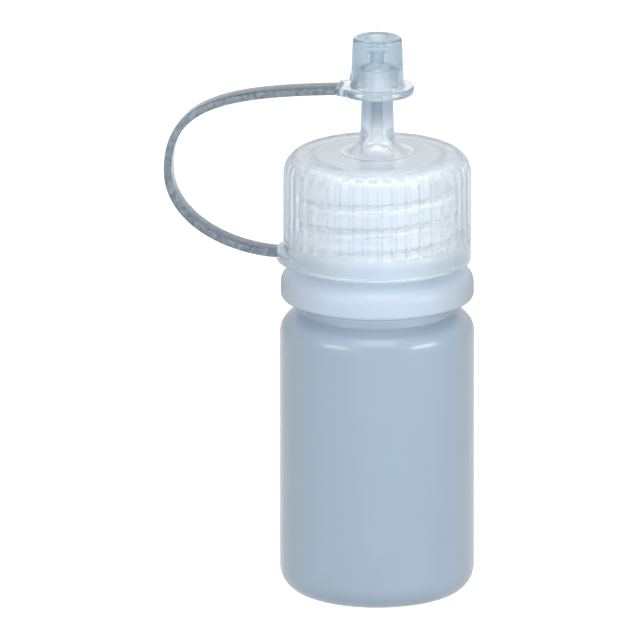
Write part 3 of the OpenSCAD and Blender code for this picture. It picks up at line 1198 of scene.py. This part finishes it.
@dataclass
class TipCap(TurnedMoulding):
    """The clear tip cap with its flange, stepped bore, socket and dimpled top.

    The strap joins it at a tab with a web on each side. The nub over the tab is what the mould's
    gate left.
    """

    name: str = "Tip_cap"
    node: str = "tip_cap"
    body: str = "tip_cap"
    finish: Plastic = CAP_PLASTIC
    ring: bool = False
    columns: int = 160
    flange_r: float = 4.75
    flange_h: float = 1.0
    flange_round: float = 0.3
    wall_foot_r: float = 3.45
    wall_top_r: float = 3.17
    mouth_r: float = 2.85
    bore_r: float = 2.75
    bore_round: float = 0.15
    seat_z: float = 69.6
    seat_r: float = 1.9
    seat_round: float = 0.2
    cone_h: float = 0.8
    socket_r: float = 0.93
    socket_z: float = 71.85
    socket_row: float = 0.3
    dimple_r: float = 1.5
    dimple_h: float = 0.9
    dimple_draft: float = 0.05
    tab_r: float = 5.25
    tab_half_w: float = 1.6
    tab_web_half_w: float = 2.9
    tab_sector: float = math.radians(60)
    gate_z: float = 68.2
    gate_row: float = 0.12
    gate_half_h: float = 0.55
    gate_half_w: float = 0.45
    gate_flat_half_h: float = 0.3
    gate_flat_half_w: float = 0.2
    gate_out: float = 0.16

    def outline(self) -> list[Corner]:
        """Returns the outline from the socket's ceiling out and round to the dimple's floor."""
        flange_z, top_z = self.low().z, self.high().z
        flange_top, dimple_z = flange_z + self.flange_h, top_z - self.dimple_h
        return [
            Corner(0, self.socket_z),
            Corner(self.socket_r, self.socket_z, 0.15, self.socket_row),
            Corner(self.socket_r, self.seat_z + self.cone_h, self.seat_round, self.socket_row),
            Corner(self.seat_r, self.seat_z, self.seat_round, self.socket_row),
            Corner(self.bore_r, self.seat_z, self.bore_round),
            Corner(self.mouth_r, flange_z, self.bore_round),
            Corner(self.flange_r, flange_z, self.flange_round, rule=Rule.TAB),
            Corner(self.flange_r, flange_top, self.flange_round, rule=Rule.TAB),
            Corner(self.wall_foot_r, flange_top, 0.25, self.gate_row, Rule.GATE),
            Corner(self.wall_top_r, top_z, rounding=0.45),
            Corner(self.dimple_r, top_z, rounding=0.18),
            Corner(self.dimple_r - self.dimple_draft, dimple_z, rounding=0.25),
            Corner(0, dimple_z),
        ]

    def fittings(self) -> Shaping:
        """Builds the tree that draws out the strap's tab and the gate's nub."""
        shape = Shaping("Strap tab and gate nub", {
            "Tab Angle": LOOP_TURN,
            "Tab Radius": self.tab_r,
            "Sector Cosine": math.cos(self.tab_sector),
            "Flange Radius": self.flange_r,
            "Tab Half Width": self.tab_half_w,
            "Web Half Width": self.tab_web_half_w,
            "Gate Height": self.gate_z,
            "Gate Half Height": self.gate_half_h,
            "Gate Half Width": self.gate_half_w,
            "Gate Flat Half Height": self.gate_flat_half_h,
            "Gate Flat Half Width": self.gate_flat_half_w,
            "Gate Out": self.gate_out,
        })
        wire, given = shape.wiring, shape.given
        angle, reach, height = shape.polar()
        turn = wire.math("MULTIPLY", angle, math.tau)
        off = wire.math("SUBTRACT", turn, given["Tab Angle"])
        along = wire.math("COSINE", off)
        behind = wire.math("LESS_THAN", along, given["Sector Cosine"])
        across = wire.math("ABSOLUTE", wire.math("MULTIPLY", wire.math("SINE", off), given["Flange Radius"]))
        across = wire.math("MULTIPLY_ADD", behind, FAR_OFF, across)
        drawn = wire.math("DIVIDE", given["Tab Radius"], wire.math("MAXIMUM", along, given["Sector Cosine"]))
        drawn = wire.math("SUBTRACT", drawn, given["Flange Radius"])
        web = wire.smooth_range(across, given["Web Half Width"], given["Tab Half Width"])
        tab = wire.math("MULTIPLY", wire.math("MULTIPLY", drawn, web), shape.mask(Rule.TAB))
        side = wire.math("ABSOLUTE", wire.math("MULTIPLY", wire.math("SINE", turn), reach))
        side = wire.math("MULTIPLY_ADD", behind, FAR_OFF, side)
        wide = wire.smooth_range(side, given["Gate Half Width"], given["Gate Flat Half Width"])
        apart = wire.math("ABSOLUTE", wire.math("SUBTRACT", height, given["Gate Height"]))
        tall = wire.smooth_range(apart, given["Gate Half Height"], given["Gate Flat Half Height"])
        nub = wire.math("MULTIPLY", wire.math("MULTIPLY", wide, tall), shape.mask(Rule.GATE))
        push = wire.math("MULTIPLY_ADD", nub, given["Gate Out"], tab)
        shape.close(shape.push_out(given["Geometry"], push))
        return shape

    def shapings(self) -> Iterator[Shaping]:
        """Yields the tab with the nub."""
        yield self.fittings()


@dataclass(frozen=True)
class Knot:
    """One knot of the tether's path and its two handles, each as reach and height in millimetres."""

    at: tuple[float, float]
    before: tuple[float, float]
    after: tuple[float, float]


@dataclass
class TetherStrap(Moulding):
    """The ribbon that loops from the closure's lug round to the tip cap's flange."""

    name: str = "Tether_strap"
    node: str = "tether_strap"
    body: str = "closure"
    far_body: str = "tip_cap"
    finish: Plastic = STRAP_PLASTIC
    width: float = 3.0
    thickness: float = 1.0
    edge_round: float = 0.22
    edge_facets: int = 5
    low_end: tuple[float, float] = (12.6, 44.47)
    lug: Knot = Knot((13.4, 44.5), (13.1, 44.48), (20.5, 45.0))
    far: Knot = Knot((27.1, 55.0), (27.1, 49.0), (27.1, 63.5))
    flange: Knot = Knot((5.65, 66.38), (20.7, 65.55), (5.3, 66.40))
    high_end: tuple[float, float] = (4.5, 66.48)
    segments: int = 64
    rings: int = 140
    stretch_from: float = 48.0
    stretch_to: float = 61.0

    def in_place(self, at: tuple[float, float]) -> Vector:
        """Returns a point of the loop's plane in the frame, in metres."""
        reach, height = at
        return Vector((reach * math.cos(LOOP_TURN), reach * math.sin(LOOP_TURN), height)) * MM

    def build(self) -> bpy.types.Object:
        """Draws the loop's centre line in its own upright plane through the bottle's axis."""
        curve = bpy.data.curves.new("Tether_path", "CURVE")
        curve.dimensions = "3D"
        curve.resolution_u = self.segments
        line = curve.splines.new("BEZIER")
        ends = [Knot(end, end, end) for end in (self.low_end, self.high_end)]
        knots = (ends[0], self.lug, self.far, self.flange, ends[1])
        line.bezier_points.add(len(knots) - 1)
        for point, knot in zip(line.bezier_points, knots):
            point.handle_left_type = point.handle_right_type = "FREE"
            point.co = self.in_place(knot.at)
            point.handle_left = self.in_place(knot.before)
            point.handle_right = self.in_place(knot.after)
        return placed(self.name, curve)

    def ribbon(self) -> Shaping:
        """Builds the tree that sweeps the ribbon's rounded section along the centre line."""
        shape = Shaping("Tether ribbon", {
            "Width": self.width * MM,
            "Thickness": self.thickness * MM,
            "Edge Round": self.edge_round * MM,
            "Edge Facets": self.edge_facets,
            "Rings": self.rings,
        })
        wire, given = shape.wiring, shape.given
        even = wire.node("GeometryNodeResampleCurve")
        wire.fill(even, {"Curve": given["Geometry"], "Count": given["Rings"]})
        level = wire.node("GeometryNodeSetCurveNormal", mode="FREE")
        sideways = (-math.sin(LOOP_TURN), math.cos(LOOP_TURN), 0.0)
        wire.fill(level, {"Curve": even.outputs[0], "Normal": sideways})
        section = wire.node("GeometryNodeCurvePrimitiveQuadrilateral")
        wire.fill(section, {"Width": given["Width"], "Height": given["Thickness"]})
        rounded = wire.node("GeometryNodeFilletCurve", mode="POLY")
        wire.fill(rounded, {
            "Curve": section.outputs[0], "Count": given["Edge Facets"], "Radius": given["Edge Round"],
        })
        swept = wire.node("GeometryNodeCurveToMesh")
        wire.fill(swept, {"Curve": level.outputs[0], "Profile Curve": rounded.outputs[0], "Fill Caps": True})
        shape.close(swept.outputs[0])
        return shape

    def shapings(self) -> Iterator[Shaping]:
        """Yields the ribbon."""
        yield self.ribbon()

    def join(self, piece: bpy.types.Object) -> None:
        """Bakes the strap's placement into its mesh, which leaves it tied to no body."""
        reach = self.far.at[0]
        self.in_place((reach, self.stretch_from))
        self.in_place((reach, self.stretch_to))
        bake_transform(piece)


@dataclass(frozen=True)
class Lamp:
    """A soft lamp: its direction from the bottle in degrees, its power in watts, and its size."""

    name: str
    azimuth: float
    height: float
    watts: float
    wide: float
    tall: float


@dataclass
class Studio:
    """A pale floor, soft lamps and the camera.

    Lengths are in millimetres and angles in degrees. The clipping distances are multiples of the
    camera's distance from its target.
    """

    lens: float = 1500.0
    sensor: float = 36.0
    view_width: float = 82.47
    clip_near: float = 0.05
    clip_far: float = 20.0
    target: tuple[float, float, float] = (-7.37, 0.0, 35.75)
    elevation: float = 15.5
    lamps: tuple[Lamp, ...] = (
        Lamp("Key_left", azimuth=-50.0, height=18.0, watts=1.0, wide=320.0, tall=180.0),
        Lamp("Key_right", azimuth=58.0, height=18.0, watts=1.55, wide=320.0, tall=180.0),
        Lamp("Top", azimuth=0.0, height=58.0, watts=2.1, wide=420.0, tall=520.0),
    )
    lamp_target: tuple[float, float, float] = (0.0, 0.0, 38.0)
    lamp_distance: float = 600.0
    room_color: tuple[float, float, float, float] = (0.95, 0.975, 1.0, 1.0)
    room_light: float = 0.55
    floor_reach: float = 900.0
    floor_color: tuple[float, float, float, float] = (0.86, 0.87, 0.88, 1.0)
    floor_roughness: float = 0.9
    floor_glow: float = 0.45
    bounces: int = 24
    diffuse_bounces: int = 6
    glossy_bounces: int = 8

    def aim(
        self, data: bpy.types.ID, azimuth: float, height: float, target: Sequence[float], distance: float,
    ) -> bpy.types.Object:
        """Places a camera or a lamp so that it looks at a point.

        Args:
            data: The camera or the lamp.
            azimuth: Its direction from the point, in degrees from the front towards +X.
            height: Its angle above the point, in degrees.
            target: The point, in millimetres.
            distance: Its distance from the point, in metres.

        Returns:
            The placed object.
        """
        turn, rise = math.radians(azimuth), math.radians(height)
        back = Vector((
            math.sin(turn) * math.cos(rise), -math.cos(turn) * math.cos(rise), math.sin(rise),
        ))
        aimed = placed(data.name, data)
        aimed.location = Vector(target) * MM + back * distance
        aimed.rotation_mode = "QUATERNION"
        aimed.rotation_quaternion = (-back).to_track_quat("-Z", "Y")
        return aimed

    def camera(self) -> None:
        """Aims a long lens at the bottle from the photograph's height."""
        data = bpy.data.cameras.new("Camera")
        data.lens, data.sensor_width = self.lens, self.sensor
        away = self.view_width * self.lens / self.sensor * MM
        data.clip_start, data.clip_end = away * self.clip_near, away * self.clip_far
        bpy.context.scene.camera = self.aim(data, 0.0, self.elevation, self.target, away)

    def lights(self) -> None:
        """Places the soft lamps round the bottle."""
        for lamp in self.lamps:
            data = bpy.data.lights.new(lamp.name, "AREA")
            data.shape = "RECTANGLE"
            data.size, data.size_y, data.energy = lamp.wide * MM, lamp.tall * MM, lamp.watts
            distance = self.lamp_distance * MM
            placed_lamp = self.aim(data, lamp.azimuth, lamp.height, self.lamp_target, distance)
            placed_lamp.visible_camera = False

    def world(self) -> None:
        """Lights the room evenly, and shows it as white behind, in and through the plastic."""
        world = bpy.data.worlds.new("Room")
        world.use_nodes = True
        wire = Wiring(world.node_tree)
        room = world.node_tree.nodes["Background"]
        wire.fill(room, {"Color": self.room_color, "Strength": self.room_light})
        seen = wire.node("ShaderNodeBackground", WHITE, 1.0)
        mixed = wire.node("ShaderNodeMixShader", self.seen_by_eye(wire), room.outputs[0], seen.outputs[0])
        wire.feed(mixed.outputs[0], world.node_tree.nodes["World Output"].inputs["Surface"])
        bpy.context.scene.world = world

    def seen_by_eye(self, wire: Wiring) -> Socket:
        """Returns 1 for rays from the camera, mirrored or passed on by the plastic."""
        path = wire.node("ShaderNodeLightPath").outputs
        either = wire.math("MAXIMUM", path["Is Camera Ray"], path["Is Glossy Ray"])
        return wire.math("MAXIMUM", either, path["Is Transmission Ray"])

    def floor(self) -> None:
        """Lays a pale floor that shows white round the bottle's soft shadow."""
        reach = self.floor_reach * MM
        corners = [(-reach, -reach, 0), (reach, -reach, 0), (reach, reach, 0), (-reach, reach, 0)]
        mesh = bpy.data.meshes.new("Floor")
        mesh.from_pydata(corners, [], [(0, 1, 2, 3)])
        paint = bpy.data.materials.new("Pale floor")
        paint.use_nodes = True
        wire = Wiring(paint.node_tree)
        wire.fill(paint.node_tree.nodes["Principled BSDF"], {
            "Base Color": self.floor_color,
            "Roughness": self.floor_roughness,
            "Emission Color": WHITE,
            "Emission Strength": wire.math("MULTIPLY", self.seen_by_eye(wire), self.floor_glow),
        })
        mesh.materials.append(paint)
        placed("Floor", mesh)

    def set_up(self) -> None:
        """Makes the whole studio and sets how the picture is shown."""
        self.camera()
        self.lights()
        self.world()
        self.floor()
        scene = bpy.context.scene
        scene.view_settings.view_transform = "Standard"
        scene.cycles.max_bounces = scene.cycles.transmission_bounces = self.bounces
        scene.cycles.diffuse_bounces = self.diffuse_bounces
        scene.cycles.glossy_bounces = self.glossy_bounces


def main() -> None:
    """Builds the pieces in order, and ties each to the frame."""
    logging.basicConfig(level=logging.INFO, format="%(name)s: %(message)s")
    shop = Workshop()
    for moulding in (Bottle(), ScrewClosure(), DropperSpout(), TipCap(), TetherStrap()):
        piece = moulding.build()
        piece = moulding.dress(piece, moulding.finish.material(shop))
        moulding.fit(piece)
        log.info("%s: %d faces, moves with %s", piece.name, len(piece.data.polygons), moulding.body)
    Studio().set_up()


if __name__ == "__main__":
    main()
